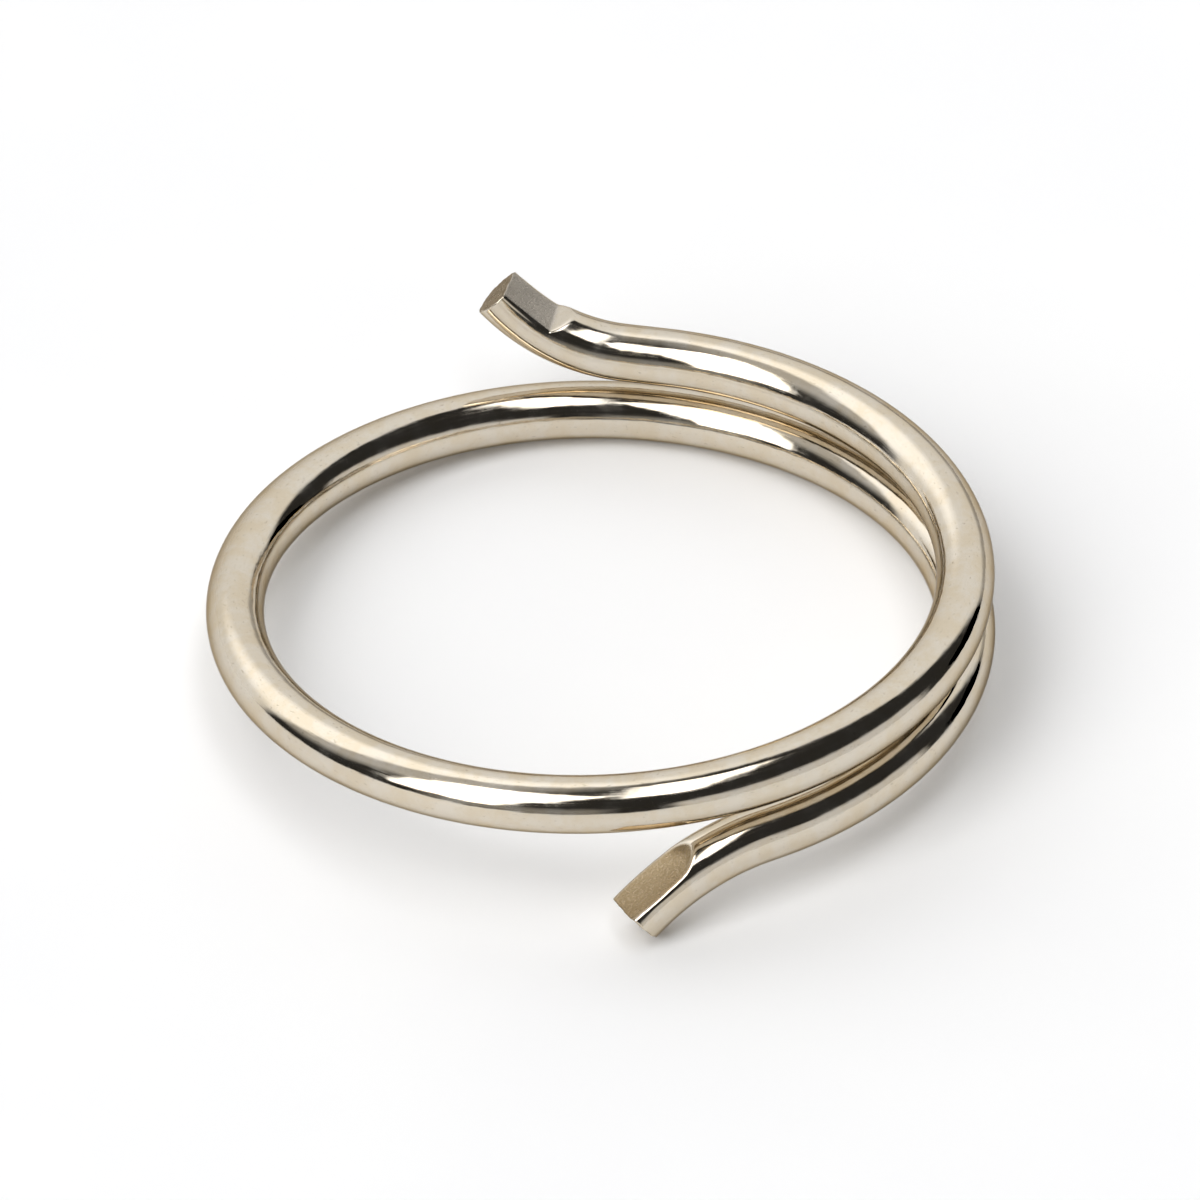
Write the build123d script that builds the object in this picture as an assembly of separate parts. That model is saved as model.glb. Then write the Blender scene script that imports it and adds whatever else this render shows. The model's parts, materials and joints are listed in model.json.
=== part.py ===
from build123d import *
from collections import namedtuple
from math import atan2, cos, degrees, pi, radians, sin
import os

# Split key ring: one round spring-steel wire, wound about a turn and a half into a loop that
# opens between its turns. Both ends run straight off the circle and finish in a pressed tab.
# The wire is cut into named stretches where it twists as the ring is prised open.
#
# The ring is built on its own axis, centred on the origin. Half a turn about X swaps its two
# ends, so the lower end is built like the upper end and turned over. The leg's length, its
# bend and the pressed side differ: both tabs are pressed from above. The ring then leans as
# it lies on a table, on its lower tab and on the far side of its lower turn, with the table
# at Z = 0 and the middle of its footprint on the Z axis.

# Ring, in millimetres
RING_OUTER = 25.0
WIRE = 1.85
TURN_RISE = 2.2
COIL_RADIUS = (RING_OUTER - WIRE) / 2

# Stretches of the turns, in degrees round the axis, counted upwards along the wire
LEG_ANGLE = 71.0
RISING_START = 150.0
RISING_END = 390.0
RISING_PIECES = 8
LOWER_PIECES = 5

# Ends, in millimetres and degrees. The last of the leg and the whole tab follow one bend. The
# tab is pressed on the inside of its bend (side 1) or on the outside (side -1).
End = namedtuple("End", "straight bend_radius leg_bend side")
UPPER_END = End(straight=1.25, bend_radius=5.4, leg_bend=21.0, side=1)
LOWER_END = End(straight=0.5, bend_radius=7.5, leg_bend=16.0, side=-1)
TAB_LENGTH = 2.9

# Flat pressed into the tab: its height above the wire's middle, and its slanted start
FLAT_HEIGHT = 0.56
SLANT_START = 0.1
SLANT_LENGTH = 0.55
TIP_ROUNDING = 0.12
DIE_REACH = 0.6

# Angle on the lower turn where the leaning ring touches the table
TOUCH_ANGLE = 69.0


def wire_point(angle):
    """Point on the wire's centre line at an angle round the axis."""
    height = TURN_RISE * (angle - 180) / 360
    return Vector(COIL_RADIUS * cos(radians(angle)), COIL_RADIUS * sin(radians(angle)), height)


def wire_direction(angle):
    """Direction of the wire as it climbs, at an angle round the axis."""
    turn = radians(angle)
    climb = TURN_RISE / (2 * pi)
    return Vector(-COIL_RADIUS * sin(turn), COIL_RADIUS * cos(turn), climb).normalized()


def turn_stretch(start, end):
    """Round wire of a turn between two angles."""
    path = Helix(TURN_RISE, TURN_RISE * (end - start) / 360, COIL_RADIUS)
    section = Plane(origin=path @ 0, z_dir=path % 0) * Circle(WIRE / 2)
    stretch = sweep(section, path=path, is_frenet=True)
    return Pos(0, 0, wire_point(start).Z) * Rot(0, 0, start) * stretch


def upper_end_plane():
    """Where the upper end leaves the circle: Z runs on along the wire and Y points up."""
    angle = 360 + LEG_ANGLE
    inwards = Vector(-cos(radians(angle)), -sin(radians(angle)), 0)
    return Plane(origin=wire_point(angle), x_dir=inwards, z_dir=wire_direction(angle))


def leg(end):
    """Wire that leaves the circle straight and then begins to bend up."""
    run = extrude(Circle(WIRE / 2), end.straight)
    bend_axis = Axis((0, end.bend_radius, end.straight), (-1, 0, 0))
    return run + revolve(Pos(0, 0, end.straight) * Circle(WIRE / 2), bend_axis, end.leg_bend)


def tab_plane(end):
    """End of the leg: Z runs on along the wire and Y points to the inside of the bend."""
    bend = radians(end.leg_bend)
    rise = end.bend_radius * (1 - cos(bend))
    reach = end.straight + end.bend_radius * sin(bend)
    return Plane(origin=(0, rise, reach), x_dir=(1, 0, 0), z_dir=(0, sin(bend), cos(bend)))


def bent_point(end, distance, height):
    """Point in the bend's plane, by distance along the wire and height over its middle."""
    bend = distance / end.bend_radius
    radius = end.bend_radius - height
    return end.bend_radius - radius * cos(bend), radius * sin(bend)


def tab_die(end):
    """What the die pushes away: a slanted start and then a flat that follows the bend."""
    flat = end.side * FLAT_HEIGHT
    outside = end.side * (WIRE / 2 + DIE_REACH)
    start = SLANT_START + SLANT_LENGTH
    stop = TAB_LENGTH + DIE_REACH
    corner = bent_point(end, start, flat)
    face_end = bent_point(end, stop, flat)
    face = ThreePointArc(corner, bent_point(end, (start + stop) / 2, flat), face_end)
    slant_rise = (WIRE / 2 + DIE_REACH - FLAT_HEIGHT) / (WIRE / 2 - FLAT_HEIGHT)
    slant_top = bent_point(end, start - SLANT_LENGTH * slant_rise, outside)
    back = Polyline(face_end, bent_point(end, stop, outside), slant_top, corner)
    return extrude(Plane.YZ * make_face(face + back), WIRE, both=True)


def pressed_tab(end):
    """End of the wire, pressed flat on one side and sheared across."""
    bend_axis = Axis((0, end.bend_radius, 0), (-1, 0, 0))
    round_end = revolve(Circle(WIRE / 2), bend_axis, degrees(TAB_LENGTH / end.bend_radius))
    pressed = round_end - tab_die(end)
    tip = pressed.faces().sort_by(Axis.Z)[-1]
    return fillet(tip.edges(), TIP_ROUNDING)


def stretch_angles(start, end, count):
    """Start and end of each of a number of equal stretches."""
    step = (end - start) / count
    return [(start + step * i, start + step * (i + 1)) for i in range(count)]


def build_ring():
    """Every stretch of the wire, by node name, from the lower tab to the upper tab."""
    end_plane = upper_end_plane()
    turned_over = Rot(180, 0, 0)
    lower_tab = end_plane * (tab_plane(LOWER_END) * pressed_tab(LOWER_END))
    nodes = {"lower_tab": turned_over * lower_tab}
    nodes["lower_leg"] = turned_over * (end_plane * leg(LOWER_END))
    for number, (start, end) in enumerate(stretch_angles(-LEG_ANGLE, RISING_START, LOWER_PIECES)):
        nodes[f"lower_turn_{number + 1}"] = turn_stretch(start, end)
    for number, (start, end) in enumerate(stretch_angles(RISING_START, RISING_END, RISING_PIECES)):
        nodes[f"rising_turn_{number + 1}"] = turn_stretch(start, end)
    nodes["upper_turn"] = turn_stretch(RISING_END, 360 + LEG_ANGLE)
    nodes["upper_leg"] = end_plane * leg(UPPER_END)
    nodes["upper_tab"] = end_plane * (tab_plane(UPPER_END) * pressed_tab(UPPER_END))
    return nodes


def lean(nodes):
    """Location that lays the ring on the table, on its lower tab and its lower turn."""
    tab = upper_end_plane() * tab_plane(LOWER_END)
    height, reach = bent_point(LOWER_END, TAB_LENGTH - TIP_ROUNDING, WIRE / 2)
    tip = (Rot(180, 0, 0) * (tab * Location((0, height, reach)))).position
    touch = wire_point(TOUCH_ANGLE) - Vector(0, 0, WIRE / 2)
    leaning = Rot(-degrees(atan2(touch.Z - tip.Z, touch.Y - tip.Y)), 0, 0)
    boxes = [(leaning * solid).bounding_box() for solid in nodes.values()]
    middle_x = (min(box.min.X for box in boxes) + max(box.max.X for box in boxes)) / 2
    middle_y = (min(box.min.Y for box in boxes) + max(box.max.Y for box in boxes)) / 2
    return Pos(-middle_x, -middle_y, -min(box.min.Z for box in boxes)) * leaning


ring_nodes = build_ring()
on_table = lean(ring_nodes)
os.makedirs("parts", exist_ok=True)
for name, solid in ring_nodes.items():
    placed = on_table * solid
    placed.label = name
    export_step(placed, f"parts/{name}.step")
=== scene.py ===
import json
import math
from collections import namedtuple

import bpy
import numpy as np
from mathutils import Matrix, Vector


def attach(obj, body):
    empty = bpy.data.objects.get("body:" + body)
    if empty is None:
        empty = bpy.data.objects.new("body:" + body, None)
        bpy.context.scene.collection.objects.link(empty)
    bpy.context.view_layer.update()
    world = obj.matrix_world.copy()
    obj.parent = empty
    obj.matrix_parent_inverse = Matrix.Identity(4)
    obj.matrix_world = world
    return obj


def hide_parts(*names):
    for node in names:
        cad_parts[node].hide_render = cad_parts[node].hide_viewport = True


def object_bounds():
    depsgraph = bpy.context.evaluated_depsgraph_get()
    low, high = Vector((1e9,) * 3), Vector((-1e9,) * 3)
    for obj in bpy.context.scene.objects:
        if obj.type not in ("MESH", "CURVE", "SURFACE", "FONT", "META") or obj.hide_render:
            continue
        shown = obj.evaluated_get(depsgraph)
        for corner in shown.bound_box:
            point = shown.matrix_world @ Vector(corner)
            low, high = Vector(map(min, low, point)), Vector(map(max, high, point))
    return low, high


# Split key ring of nickel-plated spring wire, lying on a pale table in soft studio light.
# Lengths are in metres. The wire is described on the ring's own axis, by the distance along it
# from the middle of its single half, and is then laid on the table where the frame has it.

MM = 0.001

# Wire and coil
WIRE_RADIUS = 0.925 * MM
COIL_RADIUS = 11.575 * MM
TURN_RISE = 2.2 * MM
HALF_COIL = math.radians(251)

# Ends: the last of each leg and its whole tab follow one bend
End = namedtuple("End", "straight bend_radius leg_bend")
UPPER_END = End(1.25 * MM, 5.4 * MM, math.radians(21))
LOWER_END = End(0.5 * MM, 7.5 * MM, math.radians(16))
TAB_LENGTH = 2.9 * MM

# Each tab's upper side is pressed to a face, at a height above the wire's middle. A ramp leads
# down to it, and at the tab's sides a scoop moves the ramp forward. Only a bright ramp keeps
# the wire's polish. The face is straighter than the wire's bend: from the inside of the bend
# that raises its middle, and from the outside it lowers it. The sheared end leans back by an
# amount over the wire's radius, across the tab and up it.
Tab = namedtuple("Tab", "face straighter ramp_length scoop corner bright_ramp"
                        " lean_across lean_up seed")
UPPER_SHAPE = Tab(face=0.45 * MM, straighter=0.05 / MM, ramp_length=0.55 * MM, scoop=0,
                  corner=0.01 * MM, bright_ramp=True, lean_across=0.09 * MM,
                  lean_up=0.15 * MM, seed=11)
LOWER_SHAPE = Tab(face=0.6 * MM, straighter=-0.05 / MM, ramp_length=0.3 * MM, scoop=0.45 * MM,
                  corner=0.07 * MM, bright_ramp=False, lean_across=0, lean_up=0, seed=23)
RAMP_START = 0.1 * MM
FACE_START = 0.55 * MM
FACE_WAVES = 0.005 * MM
EDGE_SHARPNESS = 22

# Sheared end: depth of its tears and of its grit, about the most that a ripple reaches, how
# far back its rim lies, and the share of the tab's length from which the rows lean with it
TEAR_DEPTH = 0.022 * MM
GRIT_DEPTH = 0.008 * MM
RIPPLE_TOP = 1.5
RIM_SETBACK = 0.05 * MM
TRIM_START = 0.55

# Where a tab looks pressed: how deep the die has gone, and how far along a bright ramp
PRESSED_DEPTH = (0.03 * MM, 0.09 * MM)
PRESSED_REACH = (0.9 * FACE_START, 1.25 * FACE_START)

# Mesh fineness
TUBE_STEP = 0.2 * MM
TUBE_SIDES = 72
TAB_STEP = 0.04 * MM
TAB_SIDES = 176
START_ROWS = 4
END_RINGS = 26
RIM_RINGS = 4
RING_CROWDING = 1.3

CLIMB = TURN_RISE / (2 * math.pi)
LENGTH_PER_RADIAN = math.hypot(COIL_RADIUS, CLIMB)
COIL_END = HALF_COIL * LENGTH_PER_RADIAN
UPPER_TAB = COIL_END + UPPER_END.straight + UPPER_END.bend_radius * UPPER_END.leg_bend
LOWER_TAB = -(COIL_END + LOWER_END.straight + LOWER_END.bend_radius * LOWER_END.leg_bend)
QUARTER_TURN = math.pi / 2 * LENGTH_PER_RADIAN
TURNED_OVER = np.diag([1.0, -1.0, -1.0])

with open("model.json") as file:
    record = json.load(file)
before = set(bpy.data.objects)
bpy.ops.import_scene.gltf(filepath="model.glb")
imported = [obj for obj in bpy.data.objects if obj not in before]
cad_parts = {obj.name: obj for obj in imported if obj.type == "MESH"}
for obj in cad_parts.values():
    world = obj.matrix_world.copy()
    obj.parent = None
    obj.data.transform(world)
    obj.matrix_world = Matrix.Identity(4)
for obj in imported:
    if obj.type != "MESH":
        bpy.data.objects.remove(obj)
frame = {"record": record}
cad_low, cad_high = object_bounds()

loop_mount = next(m for m in frame["record"]["mounts"] if m["name"] == "key_loop")
ring_centre = np.array(loop_mount["pos_m"])
ring_axis = Vector(loop_mount["axis"])
lean = np.array(Vector((0, 0, 1)).rotation_difference(ring_axis).to_matrix())


# ---------------------------------------------------------------- the wire's course

def half_frame(distance, end):
    """Point, direction, inward side and upper side of the upper half of the wire."""
    turn = min(distance / LENGTH_PER_RADIAN, HALF_COIL)
    angle = math.pi + turn
    out = np.array([math.cos(angle), math.sin(angle), 0.0])
    point = COIL_RADIUS * out + np.array([0, 0, CLIMB * turn])
    along = np.array([-COIL_RADIUS * out[1], COIL_RADIUS * out[0], CLIMB]) / LENGTH_PER_RADIAN
    inward = -out
    upward = np.cross(along, inward)
    beyond = distance - COIL_END
    if beyond > 0:
        bent = max(beyond - end.straight, 0) / end.bend_radius
        point = point + along * min(beyond, end.straight)
        point = point + end.bend_radius * (math.sin(bent) * along
                                           + (1 - math.cos(bent)) * upward)
        along, upward = (math.cos(bent) * along + math.sin(bent) * upward,
                         math.cos(bent) * upward - math.sin(bent) * along)
    return point, along, inward, upward


def wire_frame(distance):
    """The same at any distance: the lower half is the upper half turned over about X."""
    if distance >= 0:
        return half_frame(distance, UPPER_END)
    point, along, inward, upward = half_frame(-distance, LOWER_END)
    return (TURNED_OVER @ point, -TURNED_OVER @ along, TURNED_OVER @ inward,
            -TURNED_OVER @ upward)


def lay_down(vectors):
    """Points or directions turned from the ring's own axis to the leaning ring."""
    return vectors @ lean.T


# ---------------------------------------------------------------- meshes

def grid_faces(rows, sides):
    """Quads of a tube whose rows of points run round it one after another."""
    faces = []
    for row in range(rows - 1):
        for side in range(sides):
            following = (side + 1) % sides
            faces.append((row * sides + side, row * sides + following,
                          (row + 1) * sides + following, (row + 1) * sides + side))
    return faces


def add_piece(name, points, faces, wire_places, body, nodes, material):
    """A smooth mesh piece that rides on a body and stands for CAD nodes."""
    mesh = bpy.data.meshes.new(name)
    mesh.from_pydata(points.tolist(), [], faces)
    mesh.polygons.foreach_set("use_smooth", [True] * len(faces))
    places = mesh.attributes.new("wire_place", "FLOAT_VECTOR", "POINT")
    places.data.foreach_set("vector", np.asarray(wire_places, np.float32).ravel())
    mesh.materials.append(material)
    mesh.update()
    piece = bpy.data.objects.new(name, mesh)
    bpy.context.scene.collection.objects.link(piece)
    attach(piece, body)
    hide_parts(*nodes)
    return piece


def round_wire(name, start, end, body, nodes, material):
    """Round wire between two distances, closed by a flat cap at each end."""
    rows = round((end - start) / TUBE_STEP) + 1
    angles = np.arange(TUBE_SIDES) * 2 * math.pi / TUBE_SIDES
    circle = np.stack([np.cos(angles), np.sin(angles)], 1)
    points, normals, places = [], [], []
    for distance in np.linspace(start, end, rows):
        point, _, inward, upward = wire_frame(distance)
        out = circle @ np.stack([inward, upward])
        normals.append(out)
        points.append(point + WIRE_RADIUS * out)
        places.append(np.column_stack([np.full(TUBE_SIDES, distance), WIRE_RADIUS * circle]))
    points = lay_down(np.concatenate(points)) + ring_centre
    normals = lay_down(np.concatenate(normals))
    faces = grid_faces(rows, TUBE_SIDES)
    side_faces = len(faces)
    last = (rows - 1) * TUBE_SIDES
    faces.append(tuple(range(TUBE_SIDES - 1, -1, -1)))
    faces.append(tuple(range(last, last + TUBE_SIDES)))
    piece = add_piece(name, points, faces, np.concatenate(places), body, nodes,
                      material)
    cap_normals = [-lay_down(wire_frame(start)[1]), lay_down(wire_frame(end)[1])]
    corner_normals = [normals[v] for face in faces[:side_faces] for v in face]
    for cap_normal in cap_normals:
        corner_normals += [cap_normal] * TUBE_SIDES
    piece.data.normals_split_custom_set([tuple(normal) for normal in corner_normals])


def smooth_step(value, low, high):
    """0 below low, 1 above high, with no corner between."""
    t = np.clip((value - low) / (high - low), 0, 1)
    return t * t * (3 - 2 * t)


def ripple(x, y, z, seed):
    """Smooth irregular value between about -1 and 1, the same each time for a seed."""
    rng = np.random.default_rng(seed)
    waves = 9
    total = 0
    for _ in range(waves):
        direction = rng.normal(size=3)
        phase = rng.uniform(0, 2 * math.pi)
        total = total + np.sin(x * direction[0] + y * direction[1] + z * direction[2] + phase)
    return total / (0.4 * waves)


def die_height(x, z, tab):
    """Height of the pressed side above the wire's middle, over the tab's width and length."""
    across = x / WIRE_RADIUS
    raised = (z - FACE_START) * (TAB_LENGTH - z) * tab.straighter
    face = tab.face + raised + FACE_WAVES * ripple(x / MM * 3, 0, z / MM * 2, tab.seed)
    start = RAMP_START + tab.scoop * across ** 2
    ramp = WIRE_RADIUS - (WIRE_RADIUS - tab.face) * (z - start) / tab.ramp_length
    return (face + ramp) / 2 + np.sqrt(((face - ramp) / 2) ** 2 + tab.corner ** 2)


def tab_radius(angles, z, side, tab):
    """Distance from the tab's middle line to its surface, all round it."""
    facing_up = np.maximum(side * np.sin(angles), 1e-6)
    pressed = die_height(WIRE_RADIUS * np.cos(angles), z, tab) / facing_up
    return WIRE_RADIUS * (1 + (WIRE_RADIUS / pressed) ** EDGE_SHARPNESS) ** (-1 / EDGE_SHARPNESS)


def end_trim(x, y, tab):
    """How far the sheared end stands out from the tab's nominal length, mostly below 0."""
    tears = TEAR_DEPTH * (ripple(x / MM * 6, y / MM * 8, 0, tab.seed) - RIPPLE_TOP)
    grit = GRIT_DEPTH * (ripple(x / MM * 26, y / MM * 30, 0, tab.seed + 5) - RIPPLE_TOP)
    rim = -RIM_SETBACK * ((x ** 2 + y ** 2) / WIRE_RADIUS ** 2) ** 2
    return (rim + tears + grit + tab.lean_across * x / WIRE_RADIUS - abs(tab.lean_across)
            + tab.lean_up * y / WIRE_RADIUS - abs(tab.lean_up) * tab.face / WIRE_RADIUS)


def tab_surface(tip_side, tab):
    """A tab's points as rows round it, from the leg to the tip and on over the sheared end.

    Gives x inward, y up the bend, z towards the tip, the trim along z, and how pressed and
    how sheared each point looks."""
    angles = (np.arange(TAB_SIDES) + 0.5) * 2 * math.pi / TAB_SIDES
    along = np.concatenate([np.linspace(0, RAMP_START, START_ROWS, endpoint=False),
                            np.arange(RAMP_START, TAB_LENGTH, TAB_STEP)])
    rows = []

    def add_row(x, y, z, trim, pressed, sheared):
        values = np.broadcast_arrays(x, y, z, trim, pressed, sheared)
        rows.append(np.column_stack(values))

    for z in along:
        radius = tab_radius(angles, z, tip_side, tab)
        x, y = radius * np.cos(angles), radius * np.sin(angles)
        trim = end_trim(x, y, tab) * smooth_step(z / along[-1], TRIM_START, 1)
        on_face = smooth_step(z, *PRESSED_REACH) if tab.bright_ramp else 1
        add_row(x, y, z, trim, on_face * smooth_step(WIRE_RADIUS - radius, *PRESSED_DEPTH), 0)
    rim_x, rim_y = x, y
    for ring in range(1, END_RINGS + 1):
        shrink = 1 - (ring / (END_RINGS + 1)) ** RING_CROWDING
        x, y = rim_x * shrink, rim_y * shrink
        trim = end_trim(x, y, tab)
        add_row(x, y, along[-1], trim, 0, smooth_step(ring, 0, RIM_RINGS))
    middle = [[0, 0, along[-1], np.mean(trim), 0, 1]]
    return len(rows), np.concatenate(rows + [middle]).T


def pressed_tab(name, start, body, node, tab, material):
    """Tab at the wire's end: pressed flat on its upper side, round below, sheared across.

    start is its distance along the wire."""
    tip_side = 1 if start > 0 else -1
    rows, (x, y, z, trim, pressed, sheared) = tab_surface(tip_side, tab)
    points = []
    for inward_by, up_by, tip_by, trim_by in zip(x, y, z, trim):
        point, along, inward, upward = wire_frame(start + tip_side * tip_by)
        points.append(point + inward_by * inward + tip_side * up_by * upward
                      + tip_side * trim_by * along)
    points = lay_down(np.array(points)) + ring_centre
    places = np.column_stack([start + tip_side * (z + trim), x, y])
    faces = grid_faces(rows, TAB_SIDES)
    faces.append(tuple(range(TAB_SIDES - 1, -1, -1)))
    last = (rows - 1) * TAB_SIDES
    for step in range(TAB_SIDES):
        faces.append((last + step, last + (step + 1) % TAB_SIDES, len(points) - 1))
    piece = add_piece(name, points, faces, places, body, [node], material)
    seam = piece.data.attributes.new("sharp_edge", "BOOLEAN", "EDGE")
    seam.data.foreach_set("value", [max(edge.vertices) < TAB_SIDES for edge in piece.data.edges])
    for label, values in (("pressed", pressed), ("sheared", sheared)):
        layer = piece.data.attributes.new(label, "FLOAT", "POINT")
        layer.data.foreach_set("value", values.astype(np.float32))


# ---------------------------------------------------------------- materials

class Nodes:
    """Short ways to add and link nodes in one node tree."""

    def __init__(self, tree):
        self.tree = tree
        tree.nodes.clear()

    def add(self, kind, inputs=(), **settings):
        node = self.tree.nodes.new(kind)
        for key, value in settings.items():
            setattr(node, key, value)
        for key, value in dict(inputs).items():
            if isinstance(value, bpy.types.NodeSocket):
                self.tree.links.new(value, node.inputs[key])
            else:
                node.inputs[key].default_value = value
        return node

    def math(self, operation, a, b=0.0):
        return self.add("ShaderNodeMath", {0: a, 1: b}, operation=operation).outputs[0]

    def attribute(self, name, output="Fac"):
        return self.add("ShaderNodeAttribute", attribute_name=name).outputs[output]

    def scaled(self, vector, scale):
        node = self.add("ShaderNodeVectorMath", {0: vector, 1: scale}, operation="MULTIPLY")
        return node.outputs[0]

    def noise(self, vector, scale, detail, roughness=0.5):
        node = self.add("ShaderNodeTexNoise", {"Vector": vector, "Scale": scale,
                                               "Detail": detail, "Roughness": roughness})
        return node.outputs["Fac"]

    def ramp(self, value, low, high, to_low=0.0, to_high=1.0):
        node = self.add("ShaderNodeMapRange",
                        {"Value": value, "From Min": low, "From Max": high,
                         "To Min": to_low, "To Max": to_high}, interpolation_type="SMOOTHSTEP")
        return node.outputs["Result"]

    def mix(self, share, a, b):
        node = self.add("ShaderNodeMix", {0: share, 2: a, 3: b}, data_type="FLOAT")
        return node.outputs[0]

    def mix_colour(self, share, a, b):
        node = self.add("ShaderNodeMix", {0: share, 6: a, 7: b}, data_type="RGBA")
        return node.outputs[2]

    def dot(self, vector, other):
        node = self.add("ShaderNodeVectorMath", {0: vector, 1: other}, operation="DOT_PRODUCT")
        return node.outputs["Value"]

    def bump(self, height, distance, below=None):
        inputs = {"Height": height, "Distance": distance, "Strength": 1.0}
        if below is not None:
            inputs["Normal"] = below
        return self.add("ShaderNodeBump", inputs).outputs["Normal"]


def new_material(name):
    """A material and its node tree, still empty."""
    material = bpy.data.materials.new(name)
    material.use_nodes = True
    return material, Nodes(material.node_tree)


NICKEL = (0.66, 0.575, 0.445, 1)
NICKEL_PALE = (0.69, 0.63, 0.535, 1)
NICKEL_DULL = (0.30, 0.245, 0.18, 1)
FLAT_GREY = (0.50, 0.46, 0.405, 1)
# Darker gold-brown of the lower tab's pressed face: a painted reflection of the dark room and
# wire that the face looks at
FLAT_GOLD_PAINTED_REFLECTION = (0.37, 0.28, 0.165, 1)
# Dark tint of the metal's grazing edges: painted shade standing in for the shadowed floor they
# reflect
GRAZING_PAINTED_SHADE = (0.42, 0.36, 0.28, 1)
TABLE_DARKER = (0.93, 0.93, 0.935, 1)
TABLE_LIGHTER = (0.95, 0.95, 0.95, 1)
BACKDROP = (0.97, 0.97, 0.97, 1)

# How fine each pattern is, per metre, either all ways or along the wire and across it
CLOUDS = 900.0
SPECKS = (5000, 11000, 11000)
DRAWN_LINES = (700, 20000, 20000)
WAVES = (700, 1300, 1300)
SATIN_GRAIN = 13000.0
TEARS = (5000, 9000, 9000)
TABLE_MOTTLE = 60.0

# How high each pattern stands
WAVE_HEIGHT = 0.013 * MM
LINE_HEIGHT = 0.0012 * MM
GRAIN_HEIGHT = 0.012 * MM
TEAR_HEIGHT = 0.16 * MM


def plate_colour(n, place):
    """Warm nickel with pale clouds and small dull specks, and the clouds themselves."""
    clouds = n.noise(place, CLOUDS, 4.0, 0.65)
    specks = n.noise(n.scaled(place, SPECKS), 1.0, 3.0, 0.7)
    colour = n.mix_colour(n.ramp(clouds, 0.35, 0.65), NICKEL, NICKEL_PALE)
    return n.mix_colour(n.ramp(specks, 0.6, 0.76, 0.0, 0.6), colour, NICKEL_DULL), clouds


def drawn_surface(n, place, clouds):
    """Roughness and bumps of drawn wire: fine lines along it, faint waves and hazy patches."""
    lines = n.noise(n.scaled(place, DRAWN_LINES), 1.0, 3.0, 0.6)
    waves = n.noise(n.scaled(place, WAVES), 1.0, 2.0)
    roughness = n.math("ADD", n.ramp(lines, 0.35, 0.75, 0.05, 0.15),
                       n.ramp(clouds, 0.45, 0.75, 0.0, 0.1))
    return roughness, n.bump(lines, LINE_HEIGHT, n.bump(waves, WAVE_HEIGHT))


def metal(n, colour, roughness, normal):
    """Metal surface whose edges darken where they are seen at a glance: painted shade, an edge
    tint standing in for the shadowed floor that the edges reflect.
    """
    shader = n.add("ShaderNodeBsdfPrincipled",
                   {"Base Color": colour, "Metallic": 1.0, "Roughness": roughness,
                    "Specular Tint": GRAZING_PAINTED_SHADE, "Normal": normal})
    n.add("ShaderNodeOutputMaterial", {"Surface": shader.outputs[0]})


def bright_nickel():
    """Polished plate over drawn wire."""
    material, n = new_material("bright_nickel")
    place = n.attribute("wire_place", "Vector")
    colour, clouds = plate_colour(n, place)
    roughness, normal = drawn_surface(n, place, clouds)
    metal(n, colour, roughness, normal)
    return material


def pressed_nickel(name, flat_colour, torn_depth):
    """The same plate on a tab: satin where the die pressed, rough where the wire sheared.

    torn_depth is how deep and dull the sheared end's tears are, from 0 to 1."""
    material, n = new_material(name)
    place = n.attribute("wire_place", "Vector")
    pressed = n.attribute("pressed")
    sheared = n.attribute("sheared")
    grain = n.noise(place, SATIN_GRAIN, 4.0, 0.65)
    tears = n.noise(n.scaled(place, TEARS), 1.0, 5.0, 0.7)
    colour, clouds = plate_colour(n, place)
    flat = n.mix_colour(n.ramp(grain, 0.35, 0.62, 0.15, 0.0), flat_colour, NICKEL_PALE)
    colour = n.mix_colour(pressed, colour, flat)
    dull = n.math("MULTIPLY", sheared, n.ramp(tears, 0.7, 0.52, 0.0, torn_depth))
    colour = n.mix_colour(dull, colour, NICKEL_DULL)
    polished, normal = drawn_surface(n, place, clouds)
    satin = n.ramp(grain, 0.3, 0.7, 0.22, 0.42)
    torn = n.ramp(tears, 0.3, 0.7, 0.5, 0.2)
    roughness = n.mix(sheared, n.mix(pressed, polished, satin), torn)
    normal = n.bump(n.math("MULTIPLY", grain, pressed), GRAIN_HEIGHT, normal)
    normal = n.bump(n.math("MULTIPLY", tears, sheared), TEAR_HEIGHT * torn_depth, normal)
    metal(n, colour, roughness, normal)
    return material


def table_top():
    """Pale matt table."""
    material, n = new_material("pale_table")
    place = n.add("ShaderNodeTexCoord").outputs["Object"]
    mottle = n.noise(place, TABLE_MOTTLE, 3.0)
    colour = n.mix_colour(n.ramp(mottle, 0.3, 0.7), TABLE_DARKER, TABLE_LIGHTER)
    shader = n.add("ShaderNodeBsdfPrincipled",
                   {"Base Color": colour, "Roughness": 0.6, "Specular IOR Level": 0.2})
    n.add("ShaderNodeOutputMaterial", {"Surface": shader.outputs[0]})
    return material


# ---------------------------------------------------------------- the ring

bright = bright_nickel()
grey = pressed_nickel("pressed_nickel_grey", FLAT_GREY, 1.0)
# The lower tab's pressed face takes a gold-brown colour that is a painted reflection of the dark
# surroundings it faces
golden_painted_reflection = pressed_nickel("pressed_nickel_gold_painted_reflection", FLAT_GOLD_PAINTED_REFLECTION, 0.35)

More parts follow.
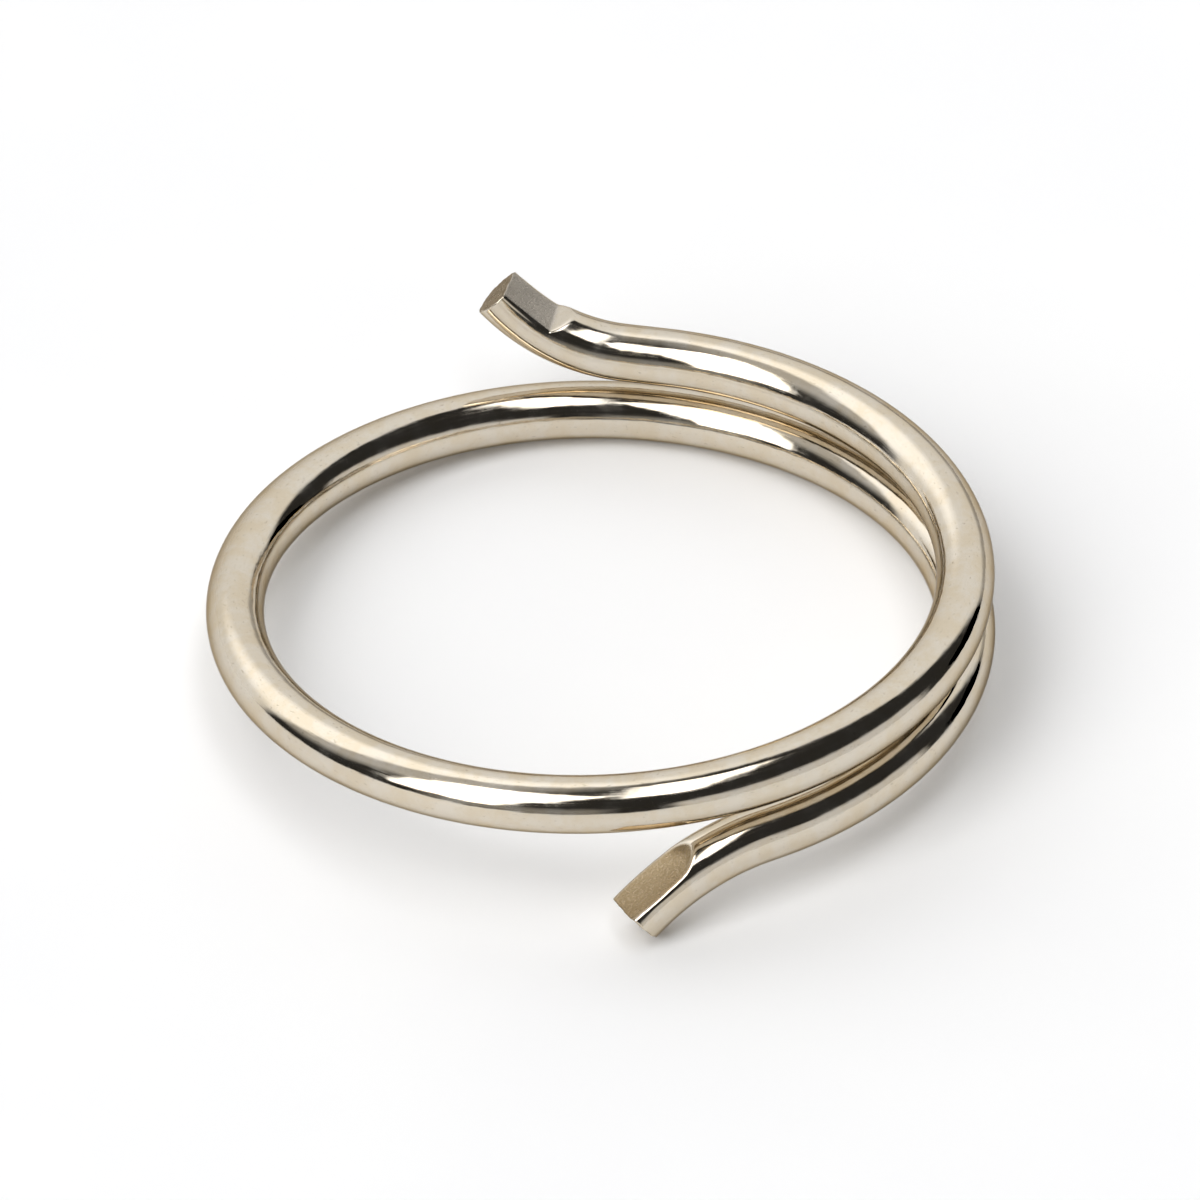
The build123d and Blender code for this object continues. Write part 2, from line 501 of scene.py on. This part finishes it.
wire_bodies = (
    ("lower_wire", "lower_end", LOWER_TAB, 0),
    ("rising_wire_1", "rising_1", 0, QUARTER_TURN),
    ("rising_wire_2", "rising_2", QUARTER_TURN, 2 * QUARTER_TURN),
    ("upper_wire", "upper_end", 2 * QUARTER_TURN, UPPER_TAB),
)
body_nodes = frame["record"]["behaviour"]["bodies"]
for name, body, start, end in wire_bodies:
    wire_nodes = [node for node in body_nodes[body] if not node.endswith("_tab")]
    round_wire(name, start, end, body, wire_nodes, bright)
pressed_tab("upper_tab_pressed", UPPER_TAB, "upper_end", "upper_tab", UPPER_SHAPE, grey)
pressed_tab("lower_tab_pressed", LOWER_TAB, "lower_end", "lower_tab", LOWER_SHAPE, golden_painted_reflection)


# ---------------------------------------------------------------- studio

VIEW_AZIMUTH = math.radians(9)
VIEW_ELEVATION = math.radians(41)
VIEW_DISTANCE = 1.0
VIEW_FIELD = 38 * MM
SENSOR = 36.0
TABLE_RADII = (0.05, 0.2, 3.0)
TABLE_SIDES = 64
ROOM_GLOW = 0.03

# Flat panels round the ring. Azimuth is measured from straight beyond the ring towards the
# camera's right, and turn rolls a panel about its middle, all in degrees. Sizes and softness
# are tangents, as seen from the ring. A panel of negative brightness is a darker gap.
Panel = namedtuple("Panel", "azimuth elevation turn half_width half_height softness brightness")
PANELS = (
    Panel(-12, 0, 0, 1.9, 2.4, 0.35, 0.95),      # white wall beyond the ring
    Panel(-60, 50, 0, 0.62, 0.55, 0.25, 0.55),   # brighter patch high on its left
    Panel(35, 3, 0, 0.65, 0.12, 0.06, -0.5),     # darker gap low on its right
    Panel(122, 8, 0, 0.8, 0.26, 0.09, 0.7),      # low strip on the right, behind the camera
    Panel(-155, 10, 0, 0.45, 0.18, 0.12, 0.25),  # faint low strip behind it on the left
    Panel(-133, 45, 0, 0.3, 0.55, 0.04, 3.7),    # softbox on the left, behind the camera
    Panel(136, 76, -43, 0.15, 0.38, 0.05, 3.2),  # narrow softbox, nearly overhead
)

view_ahead = Vector((math.sin(VIEW_AZIMUTH), math.cos(VIEW_AZIMUTH), 0))
view_right = Vector((math.cos(VIEW_AZIMUTH), -math.sin(VIEW_AZIMUTH), 0))


def studio_table():
    """Round table top, dense enough in the middle to be more than one flat face."""
    mesh = bpy.data.meshes.new("table")
    points, faces = [(0, 0, 0)], []
    for radius in TABLE_RADII:
        for side in range(TABLE_SIDES):
            angle = 2 * math.pi * side / TABLE_SIDES
            points.append((radius * math.cos(angle), radius * math.sin(angle), 0))
    for side in range(TABLE_SIDES):
        following = (side + 1) % TABLE_SIDES
        faces.append((0, 1 + side, 1 + following))
        for ring in range(len(TABLE_RADII) - 1):
            inner, outer = 1 + ring * TABLE_SIDES, 1 + (ring + 1) * TABLE_SIDES
            faces.append((inner + side, outer + side, outer + following, inner + following))
    mesh.from_pydata(points, [], faces)
    mesh.materials.append(table_top())
    table = bpy.data.objects.new("table", mesh)
    bpy.context.scene.collection.objects.link(table)


def inside_panel(n, direction, panel):
    """1 inside a panel seen from the ring, 0 outside it."""
    azimuth, elevation, turn = (math.radians(angle) for angle in panel[:3])
    towards = view_ahead * math.cos(azimuth) + view_right * math.sin(azimuth)
    across = view_right * math.cos(azimuth) - view_ahead * math.sin(azimuth)
    centre = towards * math.cos(elevation) + Vector((0, 0, math.sin(elevation)))
    upwards = Vector((0, 0, math.cos(elevation))) - towards * math.sin(elevation)
    across, upwards = (math.cos(turn) * across - math.sin(turn) * upwards,
                       math.cos(turn) * upwards + math.sin(turn) * across)
    depth = n.dot(direction, centre)
    inside = n.ramp(depth, 0.0, 0.02)
    depth = n.math("MAXIMUM", depth, 0.001)
    for axis, half in ((across, panel.half_width), (upwards, panel.half_height)):
        offset = n.math("ABSOLUTE", n.math("DIVIDE", n.dot(direction, axis), depth))
        edge = n.ramp(offset, half - panel.softness, half + panel.softness, 1.0, 0.0)
        inside = n.math("MULTIPLY", inside, edge)
    return inside


def studio_light():
    """A dark room with the lit panels in it, and the white backdrop the camera sees."""
    world = bpy.data.worlds.new("studio")
    bpy.context.scene.world = world
    world.use_nodes = True
    n = Nodes(world.node_tree)
    direction = n.add("ShaderNodeTexCoord").outputs["Generated"]
    strength = ROOM_GLOW
    for panel in PANELS:
        glow = n.math("MULTIPLY", inside_panel(n, direction, panel), panel.brightness)
        strength = n.math("ADD", glow, strength)
    seen = n.add("ShaderNodeBackground", {"Color": BACKDROP, "Strength": 1.0})
    lit = n.add("ShaderNodeBackground", {"Color": (1, 1, 1, 1), "Strength": strength})
    camera_ray = n.add("ShaderNodeLightPath").outputs["Is Camera Ray"]
    mixed = n.add("ShaderNodeMixShader", {0: camera_ray, 1: lit.outputs[0], 2: seen.outputs[0]})
    n.add("ShaderNodeOutputWorld", {"Surface": mixed.outputs[0]})
    world.cycles.sampling_method = "MANUAL"
    world.cycles.sample_map_resolution = 1024


def camera():
    """Long lens at the height and turn from which the ring is seen."""
    data = bpy.data.cameras.new("camera")
    data.sensor_width = SENSOR
    data.lens = SENSOR * VIEW_DISTANCE / VIEW_FIELD
    data.clip_start = VIEW_DISTANCE / 10
    data.clip_end = 10 * VIEW_DISTANCE
    eye = bpy.data.objects.new("camera", data)
    bpy.context.scene.collection.objects.link(eye)
    back = -view_ahead * math.cos(VIEW_ELEVATION) + Vector((0, 0, math.sin(VIEW_ELEVATION)))
    target = (cad_low + cad_high) / 2
    eye.location = target + back * VIEW_DISTANCE
    eye.rotation_euler = (-back).to_track_quat("-Z", "Y").to_euler()
    bpy.context.scene.camera = eye


studio_table()
studio_light()
camera()
bpy.context.scene.view_settings.view_transform = "Standard"
bpy.context.scene.view_settings.look = "None"
